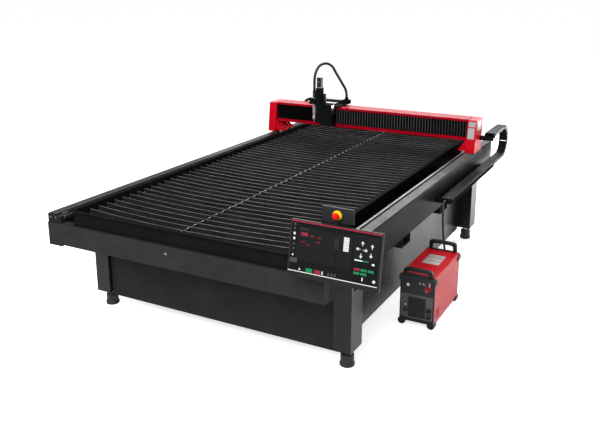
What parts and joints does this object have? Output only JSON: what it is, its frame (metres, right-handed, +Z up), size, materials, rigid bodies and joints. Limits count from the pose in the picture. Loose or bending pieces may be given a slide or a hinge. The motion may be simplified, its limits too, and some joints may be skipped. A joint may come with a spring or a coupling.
{
  "type": "cnc plasma table",
  "caption": "Gantry plasma cutting table with a bowed slat bed over a water pan, a torch on a sliding carriage, cable chains, a tilting control screen and a power source.",
  "frame": {"origin": "middle of the footprint of the whole assembly at rest, on the floor", "axes": "+X to the right across the table, seen from the control screen's end, +Y along the table from the screen's end to the gantry's end, +Z up"},
  "size_m": [2.38, 3.7204, 1.5123],
  "materials": {
    "black_powder_coat": "satin black powder coat",
    "red_paint": "glossy red paint",
    "slat_steel": "dark mill-scale steel with bright cut edges",
    "rail_steel": "ground steel",
    "gear_steel": "oiled steel",
    "black_plastic": "matt black plastic",
    "bellows_cloth": "coated pleated cloth",
    "lead_rubber": "smooth cable jacket",
    "foot_rubber": "matt rubber",
    "screen_plastic": "grey textured plastic",
    "screen_glass": "glossy display",
    "stop_yellow": "yellow plastic",
    "stop_red": "glossy red plastic",
    "torch_body": "black moulded sleeve",
    "torch_copper": "heat-stained copper",
    "grey_panel": "dark grey moulded plastic"
  },
  "bodies": {
    "table": {"side_beams": "black_powder_coat", "front_beam": "black_powder_coat", "rear_beam": "black_powder_coat", "side_rails": "rail_steel", "side_racks": "gear_steel", "water_pan": "black_powder_coat", "slat_supports": "slat_steel", "cutting_slats": "slat_steel", "legs": "black_powder_coat", "foot_pads": "foot_rubber", "foot_studs": "rail_steel", "end_skirts": "black_powder_coat", "side_skirts": "black_powder_coat", "cross_members": "black_powder_coat", "chain_tray": "black_powder_coat", "table_chain_lower_run": "black_plastic", "screen_post": "black_powder_coat", "estop_box": "black_powder_coat", "estop_collar": "stop_yellow", "power_case": "red_paint", "power_end_frames": "black_plastic", "power_panel": "grey_panel", "power_lead": "lead_rubber"},
    "screen": {"screen_housing": "screen_plastic", "screen_glass": "screen_glass"},
    "stop_plunger": {"estop_stem": "black_plastic"},
    "stop_head": {"estop_head": "stop_red"},
    "knob": {"power_knob": "stop_red"},
    "gantry": {"gantry_beam": "black_powder_coat", "gantry_covers": "red_paint", "left_tower": "red_paint", "right_tower": "red_paint", "gantry_feet": "red_paint", "gantry_bearings": "rail_steel", "gantry_motors": "black_plastic", "beam_rails": "rail_steel", "beam_rack": "gear_steel", "left_bellows": "bellows_cloth", "right_bellows": "bellows_cloth", "beam_chain_tray": "black_powder_coat", "chain_arm": "black_powder_coat", "table_chain_upper_run": "black_plastic", "beam_chain_lower_run": "black_plastic"},
    "pinion_left": {"left_pinion": "gear_steel"},
    "pinion_right": {"right_pinion": "gear_steel"},
    "table_loop_low": {"table_chain_loop_low": "black_plastic"},
    "table_loop_high": {"table_chain_loop_high": "black_plastic"},
    "beam_loop_low": {"beam_chain_loop_low": "black_plastic"},
    "beam_loop_high": {"beam_chain_loop_high": "black_plastic"},
    "carriage": {"carriage_plate": "black_powder_coat", "carriage_bearings": "rail_steel", "carriage_motors": "black_plastic", "z_column": "black_powder_coat", "beam_chain_upper_run": "black_plastic"},
    "pinion_carriage": {"carriage_pinion": "gear_steel"},
    "height_screw": {"z_screw": "rail_steel"},
    "torch_slide": {"torch_holder": "black_powder_coat", "torch": "torch_body", "torch_tip": "torch_copper", "torch_lead": "lead_rubber"}
  },
  "joints": [
    {"name": "gantry_slide", "type": "slide", "parent": "table", "child": "gantry", "axis": [0, 1, 0], "range_m": [-2.576, 0.368], "deforming": ["table_chain_lower_run", "table_chain_upper_run"]},
    {"name": "carriage_slide", "type": "slide", "parent": "gantry", "child": "carriage", "axis": [1, 0, 0], "range_m": [-0.25, 1.08], "deforming": ["beam_chain_lower_run", "beam_chain_upper_run", "left_bellows", "right_bellows"]},
    {"name": "z_slide", "type": "slide", "parent": "carriage", "child": "torch_slide", "axis": [0, 0, 1], "range_m": [-0.13, 0.03], "deforming": ["torch_lead"]},
    {"name": "screen_tilt", "type": "hinge", "parent": "table", "child": "screen", "pos_m": [0.9325, -1.77226, 0.921], "axis": [1, 0, 0], "range_deg": [-8, 25]},
    {"name": "stop_press", "type": "slide", "parent": "table", "child": "stop_plunger", "axis": [0, 1, 0], "range_m": [0, 0.005], "stiffness_N_per_m": 1500, "springref_m": -0.002},
    {"name": "stop_twist", "type": "hinge", "parent": "stop_plunger", "child": "stop_head", "pos_m": [0.903, -1.76026, 1.107], "axis": [0, -1, 0], "range_deg": [0, 45], "stiffness_Nm_per_rad": 0.2, "springref_deg": -5.73},
    {"name": "knob_turn", "type": "hinge", "parent": "table", "child": "knob", "pos_m": [1.043, -0.61026, 0.281], "axis": [0, 1, 0], "range_deg": [-135, 135]},
    {"name": "left_pinion_turn", "type": "hinge", "parent": "gantry", "child": "pinion_left", "pos_m": [-1.057, 1.21974, 0.822], "axis": [1, 0, 0], "range_deg": [-881, 6152]},
    {"name": "right_pinion_turn", "type": "hinge", "parent": "gantry", "child": "pinion_right", "pos_m": [0.743, 1.21974, 0.822], "axis": [1, 0, 0], "range_deg": [-881, 6152]},
    {"name": "table_loop_low_roll", "type": "slide", "parent": "table", "child": "table_loop_low", "axis": [0, 1, 0], "range_m": [-1.289, 0.185]},
    {"name": "table_loop_high_roll", "type": "slide", "parent": "gantry", "child": "table_loop_high", "axis": [0, 1, 0], "range_m": [-0.185, 1.289]},
    {"name": "beam_loop_low_roll", "type": "slide", "parent": "gantry", "child": "beam_loop_low", "axis": [1, 0, 0], "range_m": [-0.126, 0.541]},
    {"name": "beam_loop_high_roll", "type": "slide", "parent": "carriage", "child": "beam_loop_high", "axis": [1, 0, 0], "range_m": [-0.541, 0.126]},
    {"name": "carriage_pinion_turn", "type": "hinge", "parent": "carriage", "child": "pinion_carriage", "pos_m": [-0.527, 1.19974, 1.017], "axis": [0, 1, 0], "range_deg": [-599, 2581]},
    {"name": "z_screw_turn", "type": "hinge", "parent": "carriage", "child": "height_screw", "pos_m": [-0.615, 1.07374, 1.12], "axis": [0, 0, 1], "range_deg": [-4682, 1082]}
  ],
  "couplings": [
    {"joint": "left_pinion_turn", "follows": "gantry_slide", "rad_per_m": -41.667},
    {"joint": "right_pinion_turn", "follows": "gantry_slide", "rad_per_m": -41.667},
    {"joint": "table_loop_low_roll", "follows": "gantry_slide", "ratio": 0.5},
    {"joint": "table_loop_high_roll", "follows": "gantry_slide", "ratio": -0.5},
    {"joint": "carriage_pinion_turn", "follows": "carriage_slide", "rad_per_m": 41.667},
    {"joint": "beam_loop_low_roll", "follows": "carriage_slide", "ratio": 0.5},
    {"joint": "beam_loop_high_roll", "follows": "carriage_slide", "ratio": -0.5},
    {"joint": "z_screw_turn", "follows": "z_slide", "rad_per_m": 628.32}
  ]
}
